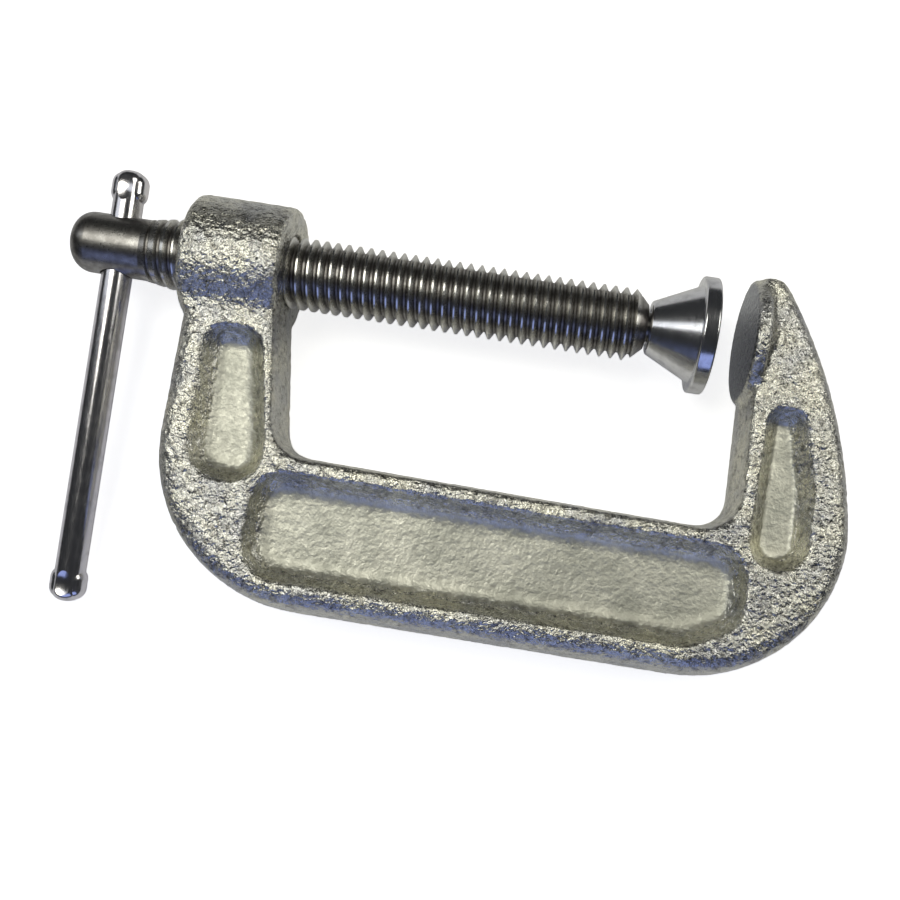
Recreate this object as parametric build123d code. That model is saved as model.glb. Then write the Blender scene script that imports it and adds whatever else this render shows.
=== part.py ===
from build123d import *
import math
import os

# C clamp lying flat. +X runs along the spindle towards the anvil. +Y lies in the plane of the C and
# points from its spine to the spindle. +Z is up, through the thickness of the C. The origin is the
# centre of the anvil's clamping face. Millimetres.

# ---- thread, 1/2 in - 13, right-handed ----
PITCH = 25.4 / 13
THREAD_CREST = 6.30          # radius of the spindle's crests
THREAD_ROOT = 5.15           # radius of the spindle's roots
CREST_SHARE = 0.14           # share of the pitch that is flat crest
ROOT_SHARE = 0.16            # share of the pitch that is flat root
TAP_GAP = 0.08               # gap between the two threads, radial and along the axis
TAP_MINOR = 5.50             # radius that the crests of the tapped hole leave open
SINK_RADIUS = THREAD_CREST + 0.5

# ---- frame, one casting: the C ----
HALF_THICK = 7.5             # parting plane to rims
WEB_HALF = 4.0               # parting plane to pocket floors
OUTER_DRAFT = 1.4            # how far the outer walls lean in between parting plane and rims
INNER_DRAFT = 0.8
ARM_DRAFT = 1.2              # same, on the wall that carries the anvil
OUTER_ROUND = 2.9
INNER_ROUND = 1.0
ARM_LEFT_X = -96.4           # outer side of the boss arm
ARM_LEFT_LEAN = 0.6          # how far that side runs in on its way to the spine
ARM_RIGHT_X = 0.7            # inner side of the anvil arm
SPINE_OUTER_Y = -58.0
SPINE_INNER_Y = -32.3
SPINE_SLOPE = 0.5            # half the rise of the spine's inner side, boss end over anvil end
SPINE_INNER_LEFT_X = -74.9
INNER_CORNER = 5.5
BOSS_CORNER = 27.2           # outer corner radius below the boss
ANVIL_CORNER = 26.3          # outer corner radius below the anvil
ANVIL_CORNER_X = -5.1        # centre of that corner
ARM_BELLY = (16.1, -9.2)     # outer side of the anvil arm, half-way up
ARM_SHOULDER = (6.3, 9.8)
ARM_TOP = (4.8, 10.6)
ARM_LIP_X = 1.0              # inner end of the arm's top

# ---- frame: boss, anvil, pockets ----
BOSS_LEFT, BOSS_RIGHT = -96.85, -79.45
BOSS_NECK_X = -80.4          # inner side of the arm just below the boss
BOSS_RADIUS = 11.2
BOSS_ROUND = 1.2
BOSS_COVE = 5.0              # radius of the cove between boss and arm
BOSS_COVE_INSET = 1.1        # the cove starts this far in from the arm's outer side
ANVIL_RADIUS = 11.0
ANVIL_THICK = 2.5
ANVIL_ROUND = 0.45
ANVIL_STEP = 1.1             # the disc's rim stands this far above the cove behind it
ANVIL_COVE = 3.9             # radius of that cove
ANVIL_COVE_LENGTH = 3.6
POCKET_TAPER = 32            # degrees

# ---- spindle ----
HEAD_LEFT, HEAD_RIGHT = -118.45, -104.85
HEAD_RADIUS = 5.35
HEAD_ROUND = 3.4
THREAD_FULL = -99.95         # the thread fades in from the head to here
THREAD_END = -17.2
THREAD_END_RADIUS = 3.9

# ---- ball and swivel pad ----
BALL_X = -12.0
BALL_RADIUS = 3.6
NECK_RADIUS = 2.5
SOCKET_GAP = 0.05
THROAT_RADIUS, THROAT_MOUTH = 2.9, 3.3
THROAT_DEPTH = 2.1           # from the ball's centre to the narrowest place of the throat
PAD_LEFT = -16.7
PAD_FACE = -5.95
PAD_NECK_RADIUS = 4.6
PAD_NECK_ROUND = 0.6
PAD_CONE_RADIUS = 8.5
PAD_FLANGE_RADIUS = 10.2
PAD_FLANGE_THICK = 2.7
PAD_FLANGE_ROUND = 0.4

# ---- tommy bar ----
BAR_X = -110.45
BAR_RADIUS = 2.6
BAR_ROUND = 2.0
BAR_HOLE_GAP = 0.25
BAR_TOP, BAR_BOTTOM = 13.4, -63.2
BAR_DIP = 7                  # degrees that the long end hangs below the plane of the C
LOBE_RADIUS = 2.1            # the two bulges of each pinched end
LOBE_OUT = 1.1               # their distance from the axis of the bar
LOBE_NEAR, LOBE_FAR = 2.4, 4.0
PINCH_RADIUS = 6.0           # the dish that the pinching tool leaves
PINCH_DEPTH = 0.5


def thread_shares(grow, minor):
    """Crest and root shares of a thread whose flanks lie grow further out along the axis."""
    flank = (1 - CREST_SHARE - ROOT_SHARE) / 2
    per_mm = flank / (THREAD_CREST - THREAD_ROOT)
    crest = CREST_SHARE + 2 * (grow / PITCH - grow * per_mm)
    root = 1 - crest - 2 * (THREAD_CREST + grow - minor) * per_mm
    return crest, root


def thread_profile(crest, root, crest_share, root_share):
    """One pitch of the thread's outline as (radius, distance along the axis), from crest to crest."""
    half_crest, half_root = crest_share * PITCH / 2, root_share * PITCH / 2
    return [(crest, -half_crest), (crest, half_crest), (root, PITCH / 2 - half_root),
            (root, PITCH / 2 + half_root), (crest, PITCH - half_crest)]


def helix(radius, start):
    """One turn of a right-handed helix about Z."""
    return (Pos(0, 0, start) * Helix(pitch=PITCH, height=PITCH, radius=radius)).edges()[0]


def thread_rod(profile, first, last):
    """Threaded rod that covers first to last along the spindle axis, with a crest at +Y at X = 0.

    Its skin is made turn by turn, one strip for each line of the profile. A ramp closes each end.
    """
    starts = [turn * PITCH for turn in range(math.floor(first / PITCH) - 1, math.ceil(last / PITCH) + 1)]
    skin = []
    for start in starts:
        rims = [helix(radius, start + along) for radius, along in profile]
        skin += [Face.make_surface_from_curves(rim, following) for rim, following in zip(rims, rims[1:])]
    for start in (starts[0], starts[-1] + PITCH):
        low = start + profile[0][1]
        core = Edge.make_line((0, 0, low), (0, 0, low + PITCH))
        skin.append(Face.make_surface_from_curves(core, helix(profile[0][0], low)))
        step = [(radius, 0, start + along) for radius, along in profile]
        skin.append(Face(Wire.make_polygon([(0, 0, low), *step, (0, 0, low + PITCH)], close=True)))
    return Plane.YZ * Solid(Shell(skin))


def turned(profile):
    """A body of revolution about the spindle axis from (X, radius) points."""
    return revolve(make_face(Polyline(*profile, close=True)), Axis.X)


def cylinder_x(first, last, radius):
    return Plane.YZ * Pos(0, 0, (first + last) / 2) * Cylinder(radius, last - first)


def both_faces(shape):
    return shape + mirror(shape, Plane.XY)


# ------------------------------------------------------------------ frame

def c_outline(level):
    """The C without boss and anvil disc: level 0 at the parting plane, 1 at the rims."""
    out, inn, arm = OUTER_DRAFT * level, INNER_DRAFT * level, ARM_DRAFT * level
    left, bottom = ARM_LEFT_X + out, SPINE_OUTER_Y + out
    reach = ANVIL_CORNER - out
    corner = (ANVIL_CORNER_X, SPINE_OUTER_Y + ANVIL_CORNER)
    heel = (corner[0] + reach, corner[1])
    belly = (ARM_BELLY[0] - 0.9 * out, ARM_BELLY[1] - 0.4 * out)
    shoulder = (ARM_SHOULDER[0] - out, ARM_SHOULDER[1] - out / 2)
    top_y = ARM_TOP[1] - out / 2
    lip = (ARM_LIP_X, top_y)
    anvil_inner = (ARM_RIGHT_X + arm, SPINE_INNER_Y - SPINE_SLOPE - inn)
    boss_inner = (SPINE_INNER_LEFT_X - inn, SPINE_INNER_Y + SPINE_SLOPE - inn)
    boss_foot = (BOSS_NECK_X - inn, 0)
    with BuildLine() as line:
        FilletPolyline(
            (left, 0), (left + ARM_LEFT_LEAN, bottom), (corner[0], bottom), radius=BOSS_CORNER - out)
        CenterArc(corner, reach, -90, 90)
        ThreePointArc(heel, belly, shoulder)
        Polyline(shoulder, (ARM_TOP[0] - out, top_y), lip)
        FilletPolyline(lip, anvil_inner, boss_inner, boss_foot, radius=INNER_CORNER + inn)
        Line(boss_foot, (left, 0))
    return Pos(0, 0, HALF_THICK * level) * make_face(line.line)


def rim_edges(half):
    """The edges round the rim face: those of the opening and those of the outside."""
    edges = half.faces().sort_by(Axis.Z)[-1].edges()
    sides = [e for e in edges if 0.01 < abs((e @ 0.5).Y) and (e @ 0.5).Y < ARM_SHOULDER[1] - 1.3]
    opening = [e for e in sides if BOSS_NECK_X - 1.5 < (e @ 0.5).X < 4.5 and (e @ 0.5).Y > SPINE_INNER_Y - 3.4]
    return opening, [e for e in sides if e not in opening]


def c_half():
    """The half of the C above its parting plane, with rounded rims."""
    half = loft([c_outline(0), c_outline(1)], ruled=True)
    half = fillet(rim_edges(half)[0], INNER_ROUND)
    return fillet(rim_edges(half)[1], OUTER_ROUND)


def pocket(points, radii, cove):
    """The tool that sinks one pocket, from the rims down to the web, with a cove round its floor."""
    outline = Pos(0, 0, HALF_THICK) * make_face(FilletPolyline(*points, radius=radii, close=True))
    tool = extrude(outline, amount=WEB_HALF - HALF_THICK, taper=POCKET_TAPER)
    return fillet(tool.faces().sort_by(Axis.Z)[0].edges(), cove)


def pockets():
    """Pocket tools of one face: boss arm, spine, anvil arm."""
    boss_arm = pocket(
        [(-90.6, -12.2), (-89.6, -38.4), (-76.9, -38.0), (-77.2, -30.0), (-81.0, -12.2)],
        [3.6, 6.0, 5.0, 6.0, 3.6], 2.6)
    spine = pocket(
        [(-77.9, -35.1), (-77.9, -53.2), (-4.0, -52.9), (4.6, -48.4), (4.6, -35.8)],
        [5.5, 6.5, 7.0, 5.5, 6.0], 3.5)
    anvil_arm = pocket(
        [(4.2, -11.6), (3.7, -38.8), (13.7, -38.6), (13.4, -24.0), (10.4, -11.6)],
        [2.9, 4.6, 4.6, 20.0, 2.9], 1.0)
    return boss_arm + spine + anvil_arm


def boss_blend():
    """Concave cove where the boss runs down into the rims of its arm, on both faces."""
    reach = BOSS_RADIUS + BOSS_COVE
    cz = HALF_THICK + BOSS_COVE
    cy = -math.sqrt(reach**2 - cz**2)
    foot = (cy, HALF_THICK)
    crown = (cy * BOSS_RADIUS / reach, cz * BOSS_RADIUS / reach)
    depth = HALF_THICK / 2
    with BuildLine() as line:
        RadiusArc(foot, crown, -BOSS_COVE)
        Polyline(crown, (crown[0], depth), (cy, depth), foot)
    length = BOSS_NECK_X - INNER_DRAFT - ARM_LEFT_X - 1.0
    start = ARM_LEFT_X + BOSS_COVE_INSET
    return both_faces(Pos(start, 0, 0) * extrude(Plane.YZ * make_face(line.line), amount=length))


def anvil_blend():
    """Hollow cone behind the anvil disc, cut to the outline of the arm."""
    rim = (ANVIL_THICK, ANVIL_RADIUS - ANVIL_STEP)
    foot = (ANVIL_THICK + ANVIL_COVE_LENGTH, HALF_THICK - 0.2)
    inside = ANVIL_THICK - 1
    with BuildLine() as line:
        RadiusArc(rim, foot, -ANVIL_COVE)
        Polyline(foot, (foot[0], 0), (inside, 0), (inside, rim[1]), rim)
    cone = revolve(make_face(line.line), Axis.X)
    return cone & extrude(c_outline(0), amount=ANVIL_RADIUS, both=True)


def tapped_bore():
    """The tools that tap the boss and countersink both ends of the hole."""
    profile = thread_profile(THREAD_CREST + TAP_GAP, TAP_MINOR, *thread_shares(TAP_GAP, TAP_MINOR))
    tap = thread_rod(profile, BOSS_LEFT, BOSS_RIGHT)
    sinks = [turned([(x - side, 0), (x - side, SINK_RADIUS + 1), (x + side * SINK_RADIUS, 0)])
             for x, side in ((BOSS_LEFT, 1), (BOSS_RIGHT, -1))]
    return tap, sinks


def frame():
    """Casting: C with H section, boss and anvil, the boss drilled and tapped."""
    boss = cylinder_x(BOSS_LEFT, BOSS_RIGHT, BOSS_RADIUS)
    boss = fillet(boss.edges().filter_by(GeomType.CIRCLE), BOSS_ROUND)
    anvil = cylinder_x(0, ANVIL_THICK, ANVIL_RADIUS)
    anvil = fillet(anvil.edges().filter_by(GeomType.CIRCLE), ANVIL_ROUND)
    body = both_faces(c_half()) + boss + anvil + boss_blend() + anvil_blend()
    sunk = pockets()
    tap, sinks = tapped_bore()
    return body - sunk - mirror(sunk, Plane.XY) - tap - sinks


# ------------------------------------------------------------------ spindle and pad

def spindle():
    """Screw with a smooth cross-drilled head; its free end is flat behind the ball's neck."""
    profile = thread_profile(THREAD_CREST, THREAD_ROOT, CREST_SHARE, ROOT_SHARE)
    rod = thread_rod(profile, HEAD_RIGHT, THREAD_END)
    over = THREAD_CREST + 1
    envelope = turned([
        (HEAD_RIGHT - 0.5, 0), (HEAD_RIGHT - 0.5, HEAD_RADIUS), (THREAD_FULL, THREAD_CREST),
        (THREAD_FULL, over), (THREAD_END - over + THREAD_END_RADIUS, over),
        (THREAD_END, THREAD_END_RADIUS), (THREAD_END, 0)])
    head = cylinder_x(HEAD_LEFT, HEAD_RIGHT, HEAD_RADIUS)
    head = fillet(head.edges().filter_by(GeomType.CIRCLE).sort_by(Axis.X)[0], HEAD_ROUND)
    hole = bar_rod(BAR_RADIUS + BAR_HOLE_GAP, -2 * HEAD_RADIUS, 2 * HEAD_RADIUS)
    return (rod & envelope) + head - across_head(hole)


def spindle_ball():
    """Neck and ball on the end of the spindle."""
    neck = cylinder_x(THREAD_END, BALL_X, NECK_RADIUS)
    return neck + Pos(BALL_X, 0, 0) * Sphere(BALL_RADIUS)


def swivel_pad():
    """Conical foot, hollow for the ball, with a flanged flat face."""
    flange = PAD_FACE - PAD_FLANGE_THICK
    outer = turned([
        (PAD_LEFT, 0), (PAD_LEFT, PAD_NECK_RADIUS), (flange, PAD_CONE_RADIUS),
        (flange, PAD_FLANGE_RADIUS), (PAD_FACE, PAD_FLANGE_RADIUS), (PAD_FACE, 0)])
    rims = outer.edges().filter_by(GeomType.CIRCLE)
    outer = fillet([e for e in rims if e.radius > PAD_CONE_RADIUS + 0.5], PAD_FLANGE_ROUND)
    rims = outer.edges().filter_by(GeomType.CIRCLE)
    outer = fillet([e for e in rims if abs(e.radius - PAD_NECK_RADIUS) < 0.01], PAD_NECK_ROUND)
    socket = Pos(BALL_X, 0, 0) * Sphere(BALL_RADIUS + SOCKET_GAP)
    throat = turned([
        (PAD_LEFT - 1, 0), (PAD_LEFT - 1, THROAT_MOUTH), (PAD_LEFT, THROAT_MOUTH),
        (BALL_X - THROAT_DEPTH, THROAT_RADIUS), (BALL_X, 0)])
    return outer - socket - throat


# ------------------------------------------------------------------ tommy bar

def across_head(shape):
    """Turns a shape built along +Y at X = BAR_X into the direction of the bar."""
    return Rot(BAR_DIP, 0, 0) * shape


def bar_rod(radius, low, high):
    return Plane.XZ * Pos(BAR_X, 0, -(low + high) / 2) * Cylinder(radius, high - low)


def bar_lobes(tip, inward):
    """The two bulges that keep one end of the bar from slipping through the head."""
    near, far = tip + inward * LOBE_NEAR, tip + inward * LOBE_FAR
    lobe = Pos(0, near, 0) * Sphere(LOBE_RADIUS) + Pos(0, far, 0) * Sphere(LOBE_RADIUS)
    lobe += Plane.XZ * Pos(0, 0, -(near + far) / 2) * Cylinder(LOBE_RADIUS, LOBE_FAR - LOBE_NEAR)
    return [Pos(BAR_X + side * LOBE_OUT, 0, 0) * lobe for side in (-1, 1)]


def pinch_marks(tip, inward):
    """The tools that press a dish into the top and the bottom of one end."""
    height = BAR_RADIUS + PINCH_RADIUS - PINCH_DEPTH
    place = tip + inward * (LOBE_NEAR + LOBE_FAR) / 2
    return [Pos(BAR_X, place, side * height) * Sphere(PINCH_RADIUS) for side in (-1, 1)]


def tommy_bar():
    """Round bar with both ends pinched wider than the hole in the head."""
    rod = bar_rod(BAR_RADIUS, BAR_BOTTOM, BAR_TOP)
    rod = fillet(rod.edges().filter_by(GeomType.CIRCLE), BAR_ROUND)
    for tip, inward in ((BAR_TOP, -1), (BAR_BOTTOM, 1)):
        rod = rod + bar_lobes(tip, inward)
        rod = rod - pinch_marks(tip, inward)
    return across_head(rod)


NODES = {
    "frame": frame,
    "spindle": spindle,
    "spindle_ball": spindle_ball,
    "swivel_pad": swivel_pad,
    "tommy_bar": tommy_bar,
}

os.makedirs("parts", exist_ok=True)
for node, build in NODES.items():
    export_step(build(), f"parts/{node}.step")
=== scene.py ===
import math

import bmesh
import bpy
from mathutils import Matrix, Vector, noise


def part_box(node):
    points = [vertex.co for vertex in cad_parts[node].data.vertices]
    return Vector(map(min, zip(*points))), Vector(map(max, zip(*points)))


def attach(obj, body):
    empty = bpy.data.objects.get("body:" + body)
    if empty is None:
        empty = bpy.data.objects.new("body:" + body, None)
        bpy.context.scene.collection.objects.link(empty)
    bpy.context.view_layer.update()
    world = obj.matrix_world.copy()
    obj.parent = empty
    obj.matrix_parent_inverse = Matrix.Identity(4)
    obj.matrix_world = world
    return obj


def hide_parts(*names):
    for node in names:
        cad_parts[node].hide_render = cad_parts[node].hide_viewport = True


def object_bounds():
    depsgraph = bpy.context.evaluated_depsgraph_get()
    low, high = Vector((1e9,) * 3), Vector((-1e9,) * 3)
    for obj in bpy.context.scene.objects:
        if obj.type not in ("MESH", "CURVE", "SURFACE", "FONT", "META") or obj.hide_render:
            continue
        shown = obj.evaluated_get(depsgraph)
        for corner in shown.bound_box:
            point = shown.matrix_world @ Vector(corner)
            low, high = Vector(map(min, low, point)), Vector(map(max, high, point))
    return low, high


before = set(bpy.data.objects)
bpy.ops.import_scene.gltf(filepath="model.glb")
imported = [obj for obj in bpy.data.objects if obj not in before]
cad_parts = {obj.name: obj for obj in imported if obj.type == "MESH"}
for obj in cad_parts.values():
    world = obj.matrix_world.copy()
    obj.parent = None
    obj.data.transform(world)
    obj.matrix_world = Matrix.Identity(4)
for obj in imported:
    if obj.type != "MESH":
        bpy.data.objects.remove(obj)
CAD_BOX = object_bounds()

# All lengths below are in millimetres and are turned into metres when a mesh or a place is made.
MM = 0.001

# ---- sizes of the part, as in its CAD frame ----
PITCH = 25.4 / 13
BOSS_LEFT, BOSS_RIGHT = -96.85, -79.45
TAP_CREST, TAP_MINOR = 6.38, 5.50
TAP_CREST_SHARE, TAP_ROOT_SHARE = 0.173, 0.291
SINK_RADIUS = 6.8            # countersinks at both ends of the tapped hole
WEB_HALF = 4.0               # half the thickness left between the pockets
ANVIL_RADIUS = 11.0

# ---- casting skin ----
VOXEL = 0.5
RELAX_FACTOR, RELAX_ROUNDS = 0.5, 3
PLUG_RADIUS = 7.4            # fills the hole until it is cut again
PLUG_INSET = 0.05
SKIN_SINK = 0.06             # the skin lies this much below the CAD surface on average
SKIN_DEEP = 0.05             # slow waves of the cast surface
SKIN_FINE = 0.02
RIM_EXTRA = 0.05             # the rims are the roughest
PIT_DEPTH = 0.35
PIT_FROM = 0.28              # noise above this makes a pit
SLOW_SPAN, WAVE_SPAN, GRAIN_SPAN, PIT_SPAN = 4.3, 1.9, 0.85, 1.25
SLOW_SHIFT = Vector((7.1, 0, 0))
GRAIN_SHIFT = Vector((0, 3.3, 0))
PIT_SHIFT = Vector((0, 0, 9.7))
SHARP_EDGE = 48              # degrees
FLOOR_FACING = (0.72, 0.97)  # how far a floor's normal points along Z
FLOOR_FADE = (0.5, 1.6)      # above the web, where a floor turns into a slope
FACE_DEPTH = (0.15, 0.5)     # from the plane of the anvil's face
FACE_RIM = (1.2, 0.3)        # in from the anvil's edge

TURN_STEPS = 72
BORE_OVERRUN = 1
WELD = 1e-8                  # metres
PLUG_WELD = 1e-6

# ---- studio ----
FLOOR_GAP = 0.05
FLOOR_REACH = 2500
LAMPS_AIM = (-50, -20, 0)
WHITE_LAMP = (1.0, 0.99, 0.91)
CAMERA_PLACE = (-33.68, -44.33, 170.43)
CAMERA_TURN = (7.148, 0.384, 9.066)
CAMERA_SHIFT = (-0.0611, -0.0111)
LENS, SENSOR = 40, 36
NEAR_CLIP = 0.01             # metres


# ------------------------------------------------------------------ mesh helpers

def link_mesh(name, mesh):
    obj = bpy.data.objects.new(name, mesh)
    bpy.context.scene.collection.objects.link(obj)
    return obj


def flat_plate(name, corners):
    mesh = bpy.data.meshes.new(name)
    mesh.from_pydata([Vector(corner) * MM for corner in corners], [], [range(len(corners))])
    return link_mesh(name, mesh)


def from_bmesh(name, bm):
    bmesh.ops.recalc_face_normals(bm, faces=bm.faces)
    mesh = bpy.data.meshes.new(name)
    bm.to_mesh(mesh)
    bm.free()
    return link_mesh(name, mesh)


def ring_point(x, radius, angle):
    return Vector((x, radius * math.cos(angle), radius * math.sin(angle))) * MM


def apply_modifiers(obj):
    graph = bpy.context.evaluated_depsgraph_get()
    mesh = bpy.data.meshes.new_from_object(obj.evaluated_get(graph))
    obj.modifiers.clear()
    obj.data = mesh


def smooth(obj, degrees):
    obj.data.shade_smooth()
    obj.data.set_sharp_from_angle(angle=math.radians(degrees))


def thread_radius(phase, crest, root, crest_share, root_share):
    """Radius of a thread at a phase in pitches; 0 is the middle of the crest."""
    away = abs(phase - round(phase))
    flank = 0.5 - (crest_share + root_share) / 2
    fall = min(max((away - crest_share / 2) / flank, 0), 1)
    return crest + (root - crest) * fall


def screw_body(name, first, last, radius_at, breaks):
    """A closed threaded rod along X. Its rows follow the helix, and radius_at(x, phase) gives the radius."""
    turns_first = math.floor(first / PITCH) - 1
    turns_last = math.ceil(last / PITCH) + 1
    marks = [turn + share for turn in range(turns_first, turns_last) for share in breaks]
    columns = []
    bm = bmesh.new()
    for k in range(TURN_STEPS):
        angle = 2 * math.pi * k / TURN_STEPS
        column = []
        for mark in marks:
            x = min(max((mark + k / TURN_STEPS) * PITCH, first), last)
            r = radius_at(x, x / PITCH - k / TURN_STEPS)
            column.append(bm.verts.new(ring_point(x, r, angle)))
        columns.append(column)
    shift = len(breaks)
    for k in range(TURN_STEPS):
        here = columns[k]
        there = columns[(k + 1) % TURN_STEPS]
        step = shift if k == TURN_STEPS - 1 else 0
        for j in range(len(marks) - 1):
            if 0 <= j + step and j + 1 + step < len(marks):
                bm.faces.new((here[j], here[j + 1], there[j + 1 + step], there[j + step]))
    bmesh.ops.remove_doubles(bm, verts=bm.verts, dist=WELD)
    bmesh.ops.dissolve_degenerate(bm, edges=bm.edges, dist=WELD)
    bmesh.ops.holes_fill(bm, edges=[e for e in bm.edges if e.is_boundary])
    return from_bmesh(name, bm)


def cylinder_x(name, first, last, radius, sides=96):
    bm = bmesh.new()
    rings = []
    for x in (first, last):
        rings.append([bm.verts.new(ring_point(x, radius, 2 * math.pi * i / sides)) for i in range(sides)])
    for i in range(sides):
        j = (i + 1) % sides
        bm.faces.new((rings[0][i], rings[0][j], rings[1][j], rings[1][i]))
    for ring in rings:
        bm.faces.new(ring)
    return from_bmesh(name, bm)


# ------------------------------------------------------------------ casting

def step_between(low, high, value):
    t = min(max((value - low) / (high - low), 0), 1)
    return t * t * (3 - 2 * t)


def floor_share(place, normal):
    """1 on the pocket floors, 0 elsewhere."""
    facing = step_between(*FLOOR_FACING, abs(normal.z))
    deep = 1 - step_between(WEB_HALF + FLOOR_FADE[0], WEB_HALF + FLOOR_FADE[1], abs(place.z))
    return facing * deep


def machined_share(place):
    """1 on the anvil's clamping face, which stays flat."""
    anvil = 1 - step_between(*FACE_DEPTH, abs(place.x))
    off_axis = math.hypot(place.y, place.z)
    return anvil * (1 - step_between(ANVIL_RADIUS - FACE_RIM[0], ANVIL_RADIUS - FACE_RIM[1], off_axis))


def skin_height(place, floor):
    """How far the cast skin stands out at a place. It is below zero over most of the surface."""
    slow = noise.noise(place / SLOW_SPAN + SLOW_SHIFT)
    wave = noise.noise(place / WAVE_SPAN)
    grain = noise.noise(place / GRAIN_SPAN + GRAIN_SHIFT)
    pit = max(noise.noise(place / PIT_SPAN + PIT_SHIFT) - PIT_FROM, 0)
    rim = 1 - floor
    height = SKIN_DEEP * (0.5 * slow + 0.7 * wave) + (SKIN_FINE + RIM_EXTRA * rim) * grain
    return height - PIT_DEPTH * rim * pit - SKIN_SINK


def plugged_frame():
    """The CAD frame with its hole filled, remeshed into small even faces with softened edges."""
    obj = link_mesh("casting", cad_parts["frame"].data.copy())
    plug = cylinder_x("plug", BOSS_LEFT + PLUG_INSET, BOSS_RIGHT - PLUG_INSET, PLUG_RADIUS)
    bm = bmesh.new()
    bm.from_mesh(obj.data)
    bm.from_mesh(plug.data)
    bmesh.ops.remove_doubles(bm, verts=bm.verts, dist=PLUG_WELD)
    bm.to_mesh(obj.data)
    bm.free()
    bpy.data.objects.remove(plug)
    remesh = obj.modifiers.new("remesh", "REMESH")
    remesh.mode = "VOXEL"
    remesh.voxel_size = VOXEL * MM
    relax = obj.modifiers.new("relax", "SMOOTH")
    relax.factor = RELAX_FACTOR
    relax.iterations = RELAX_ROUNDS
    apply_modifiers(obj)
    return obj


def roughen(mesh):
    """Moves the surface by the cast skin's height and marks the pocket floors and the machined face."""
    low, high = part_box("frame")
    normals = [v.normal.copy() for v in mesh.vertices]
    floors, machined = [], []
    for vertex, normal in zip(mesh.vertices, normals):
        place = vertex.co / MM
        floor = floor_share(place, normal)
        flat = machined_share(place)
        floors.append(floor)
        machined.append(flat)
        moved = place + normal * (skin_height(place, floor) * (1 - flat))
        if flat > 0.5:
            moved.x = 0
        for axis in range(3):
            moved[axis] = min(max(moved[axis], low[axis] / MM), high[axis] / MM)
        vertex.co = moved * MM
    for name, shares in (("floor", floors), ("machined", machined)):
        mesh.attributes.new(name, "FLOAT", "POINT")
        mesh.attributes[name].data.foreach_set("value", shares)


def casting():
    """The cast C: the CAD shape with rounded edges, an uneven cast skin and the tapped hole cut into it."""
    obj = plugged_frame()
    roughen(obj.data)
    cut_bore(obj)
    smooth(obj, SHARP_EDGE)
    return obj


def bore_radius(x, phase):
    thread = thread_radius(phase, TAP_CREST, TAP_MINOR, TAP_CREST_SHARE, TAP_ROOT_SHARE)
    return max(thread, SINK_RADIUS - (x - BOSS_LEFT), SINK_RADIUS - (BOSS_RIGHT - x))


def cut_bore(obj):
    """Cuts the tapped and countersunk hole, in step with the spindle's thread."""
    half_crest, half_root = TAP_CREST_SHARE / 2, TAP_ROOT_SHARE / 2
    falling, rising = 0.2, 0.8
    breaks = [-half_crest, 0, half_crest, falling, 0.5 - half_root, 0.5 + half_root, rising]
    tool = screw_body("bore_tool", BOSS_LEFT - BORE_OVERRUN, BOSS_RIGHT + BORE_OVERRUN, bore_radius, breaks)
    cut = obj.modifiers.new("bore", "BOOLEAN")
    cut.operation = "DIFFERENCE"
    cut.solver = "MANIFOLD"
    cut.object = tool
    apply_modifiers(obj)
    bpy.data.objects.remove(tool)


# ------------------------------------------------------------------ materials

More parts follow.
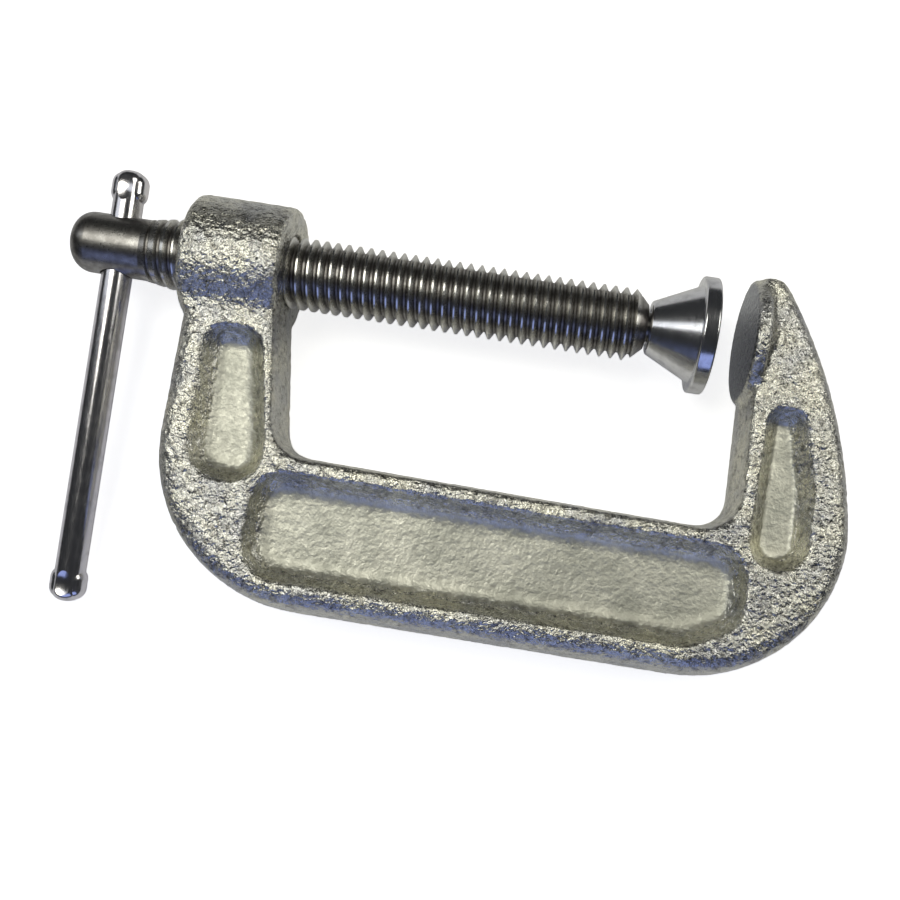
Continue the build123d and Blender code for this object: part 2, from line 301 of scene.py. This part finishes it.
class Nodes:
    """A short way to write a material's node tree."""

    def __init__(self, name):
        self.material = bpy.data.materials.new(name)
        self.material.use_nodes = True
        self.tree = self.material.node_tree
        self.shader = self.tree.nodes["Principled BSDF"]

    def add(self, kind, settings=None, **inputs):
        node = self.tree.nodes.new(kind)
        for key, value in (settings or {}).items():
            setattr(node, key, value)
        for key, value in inputs.items():
            self.put(node, key.replace("_", " "), value)
        return node

    def put(self, node, key, value):
        socket = node.inputs[int(key)] if key.isdigit() else node.inputs[key]
        if isinstance(value, bpy.types.NodeSocket):
            self.tree.links.new(value, socket)
        else:
            socket.default_value = value

    def place(self):
        """Object coordinates in millimetres."""
        coords = self.add("ShaderNodeTexCoord")
        scale = self.add("ShaderNodeVectorMath", {"operation": "SCALE"})
        self.put(scale, "0", coords.outputs["Object"])
        scale.inputs["Scale"].default_value = 1 / MM
        return scale.outputs[0]

    def stretched(self, place, stretch):
        node = self.add("ShaderNodeMapping")
        self.put(node, "Vector", place)
        node.inputs["Scale"].default_value = stretch
        return node.outputs[0]

    def noise(self, place, per_mm, detail=3.0, rough=0.55):
        node = self.add("ShaderNodeTexNoise", Vector=place, Scale=per_mm, Detail=detail, Roughness=rough)
        return node.outputs["Fac"]

    def ramp(self, value, low, high, to_low=0.0, to_high=1.0):
        node = self.add("ShaderNodeMapRange", {"clamp": True})
        self.put(node, "Value", value)
        node.inputs["From Min"].default_value = low
        node.inputs["From Max"].default_value = high
        node.inputs["To Min"].default_value = to_low
        node.inputs["To Max"].default_value = to_high
        return node.outputs[0]

    def math(self, operation, first, second):
        node = self.add("ShaderNodeMath", {"operation": operation})
        self.put(node, "0", first)
        self.put(node, "1", second)
        return node.outputs[0]

    def blend(self, share, first, second):
        node = self.add("ShaderNodeMix", {"data_type": "RGBA"})
        self.put(node, "0", share)
        self.put(node, "6", first)
        self.put(node, "7", second)
        return node.outputs[2]

    def attribute(self, name):
        return self.add("ShaderNodeAttribute", {"attribute_name": name}).outputs["Fac"]

    def off_axis(self, place):
        """Distance from the spindle's axis."""
        split = self.add("ShaderNodeSeparateXYZ")
        self.put(split, "0", place)
        squares = [self.math("MULTIPLY", split.outputs[i], split.outputs[i]) for i in (1, 2)]
        return self.math("SQRT", self.math("ADD", *squares), 0.0)

    def bump(self, height, depth_mm, normal=None):
        node = self.add("ShaderNodeBump", Height=height)
        node.inputs["Strength"].default_value = 1.0
        node.inputs["Distance"].default_value = depth_mm * MM
        if normal is not None:
            self.put(node, "Normal", normal)
        return node.outputs[0]

    def finish(self, **sockets):
        for key, value in sockets.items():
            self.put(self.shader, key.replace("_", " "), value)
        return self.material


def zinc_casting():
    """Bright zinc on a rough casting: glinting rims with painted dark glint specks, satin pocket floors and
    a dark machined anvil face.
    """
    n = Nodes("zinc_casting")
    place = n.place()
    floor = n.attribute("floor")
    patches = n.ramp(n.noise(place, 0.16, 4.0), 0.35, 0.68)
    grey_zinc, yellow_zinc = (0.56, 0.56, 0.55, 1), (0.82, 0.80, 0.68, 1)
    dull_floor, pale_floor = (0.56, 0.56, 0.48, 1), (0.80, 0.79, 0.68, 1)
    # The darkest of these colours is painted: dark glints on the rims.
    dark_glint_colour, dark_face_tone = (0.12, 0.11, 0.09, 1), (0.26, 0.27, 0.29, 1)
    rims = n.blend(patches, grey_zinc, yellow_zinc)
    floors = n.blend(patches, dull_floor, pale_floor)
    skin = n.blend(floor, rims, floors)
    # Painted dark glints: dark specks that are strong on the rims and weak on the pocket floors. They stand
    # in for the dark side of the rims' glints.
    specks = n.ramp(n.noise(place, 0.8, 4.0, 0.65), 0.50, 0.66)
    dark_glint_share = n.math("MULTIPLY", specks, n.math("SUBTRACT", 0.6, n.math("MULTIPLY", floor, 0.45)))
    colour = n.blend(dark_glint_share, skin, dark_glint_colour)
    # The anvil's clamping face is given a darker, bluish grey colour.
    colour = n.blend(n.attribute("machined"), colour, dark_face_tone)
    rough = n.ramp(n.noise(place, 1.3, 5.0, 0.65), 0.3, 0.7, 0.13, 0.34)
    rough = n.math("ADD", rough, n.math("MULTIPLY", floor, 0.28))
    rim = n.math("SUBTRACT", 1.0, n.math("MULTIPLY", floor, 0.6))
    grain = n.bump(n.math("MULTIPLY", n.noise(place, 2.6, 3.0, 0.6), rim), 0.14)
    facets = n.bump(n.math("MULTIPLY", n.noise(place, 1.0, 2.0, 0.5), rim), 0.42, grain)
    return n.finish(Base_Color=colour, Metallic=1.0, Roughness=rough, Normal=facets)


def plated_steel(name, tint, stretch, worn):
    """Bright plated steel with fine marks along or around the piece."""
    n = Nodes(name)
    place = n.place()
    marks = n.noise(n.stretched(place, stretch), 1.0, 4.0, 0.6)
    cloud = n.noise(place, 0.45, 4.0)
    rough = n.ramp(marks, 0.25, 0.75, 0.10, 0.24)
    rough = n.math("ADD", rough, n.ramp(cloud, 0.45, 0.75, 0.0, worn))
    dull = tuple(c * 0.62 for c in tint[:3]) + (1,)
    colour = n.blend(n.ramp(cloud, 0.48, 0.8), tint, dull)
    normal = n.bump(marks, 0.006)
    return n.finish(Base_Color=colour, Metallic=1.0, Roughness=rough, Normal=normal)


def plated_screw():
    """As plated_steel, with painted shade darkening the roots of the thread."""
    n = Nodes("plated_screw")
    plate, root_shade_colour = (0.66, 0.65, 0.62, 1), (0.16, 0.15, 0.14, 1)
    place = n.place()
    radius = n.off_axis(place)
    cloud = n.noise(place, 0.7, 4.0)
    # Painted shade: darker towards the roots of the thread, more in some places than others along the screw.
    # The same share also makes the roots rougher.
    painted_root_shade = n.math("MULTIPLY", n.ramp(radius, 6.1, 5.2), n.ramp(cloud, 0.2, 0.6, 0.55, 1.0))
    colour = n.blend(painted_root_shade, plate, root_shade_colour)
    marks = n.noise(n.stretched(place, (3.0, 3.0, 3.0)), 1.0, 4.0, 0.6)
    rough = n.math("ADD", n.ramp(marks, 0.3, 0.7, 0.14, 0.28), n.math("MULTIPLY", painted_root_shade, 0.15))
    normal = n.bump(marks, 0.012)
    return n.finish(Base_Color=colour, Metallic=1.0, Roughness=rough, Normal=normal)


def studio_floor():
    """Pale paper that glows a little, so the shadows stay faint. Reflections see it darker."""
    n = Nodes("studio_floor")
    paper = n.ramp(n.noise(n.place(), 0.02, 2.0), 0.3, 0.7)
    path = n.add("ShaderNodeLightPath")
    glow = n.ramp(path.outputs["Is Glossy Ray"], 0.0, 1.0, 0.8, 0.08)
    colour = n.blend(paper, (0.80, 0.80, 0.80, 1), (0.82, 0.82, 0.82, 1))
    n.put(n.shader, "Emission Color", (1, 1, 1, 1))
    return n.finish(Base_Color=colour, Roughness=0.9, Emission_Strength=glow)


def dress(obj, material):
    obj.data.materials.clear()
    obj.data.materials.append(material)


# ------------------------------------------------------------------ studio

def floor():
    low = CAD_BOX[0]
    z = low[2] / MM - FLOOR_GAP
    reach = FLOOR_REACH
    corners = [(-reach, -reach, z), (reach, -reach, z), (reach, reach, z), (-reach, reach, z)]
    obj = flat_plate("floor", corners)
    dress(obj, studio_floor())


def panel(name, place, size, watts, colour):
    light = bpy.data.lights.new(name, "AREA")
    light.shape = "RECTANGLE"
    light.size, light.size_y = size[0] * MM, size[1] * MM
    light.energy = watts
    light.color = colour
    obj = bpy.data.objects.new(name, light)
    obj.location = Vector(place) * MM
    aim = Vector(LAMPS_AIM) * MM - obj.location
    obj.rotation_euler = aim.to_track_quat("-Z", "Y").to_euler()
    bpy.context.scene.collection.objects.link(obj)


def lights():
    panel("panel_left", (-195, 65, 400), (260, 190), 0.62, WHITE_LAMP)
    panel("panel_right", (290, 155, 400), (300, 210), 0.75, WHITE_LAMP)
    panel("panel_far_left", (-430, 60, 330), (160, 300), 0.14, (0.9, 0.94, 1.0))
    panel("card_front", (-50, -500, 260), (700, 300), 0.55, (0.40, 0.50, 1.0))
    world = bpy.data.worlds.new("studio")
    world.use_nodes = True
    sky = world.node_tree.nodes["Background"]
    sky.inputs["Color"].default_value = (0.9, 0.95, 1.0, 1)
    sky.inputs["Strength"].default_value = 0.03
    bpy.context.scene.world = world
    bpy.context.scene.view_settings.view_transform = "Standard"


def camera():
    data = bpy.data.cameras.new("camera")
    data.lens = LENS
    data.sensor_width = SENSOR
    data.shift_x, data.shift_y = CAMERA_SHIFT
    data.clip_start = NEAR_CLIP
    obj = bpy.data.objects.new("camera", data)
    obj.location = Vector(CAMERA_PLACE) * MM
    obj.rotation_euler = [math.radians(a) for a in CAMERA_TURN]
    bpy.context.scene.collection.objects.link(obj)
    bpy.context.scene.camera = obj


camera()
floor()
lights()

cast = casting()
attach(cast, "frame")
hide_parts("frame")
dress(cast, zinc_casting())

screw_finish = plated_screw()
dress(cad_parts["spindle"], screw_finish)
dress(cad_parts["spindle_ball"], screw_finish)
around_x, along_y = (9.0, 0.6, 0.6), (5.0, 0.25, 5.0)
dress(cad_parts["swivel_pad"], plated_steel("plated_pad", (0.74, 0.74, 0.76, 1), around_x, 0.06))
dress(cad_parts["tommy_bar"], plated_steel("plated_bar", (0.78, 0.76, 0.78, 1), along_y, 0.08))
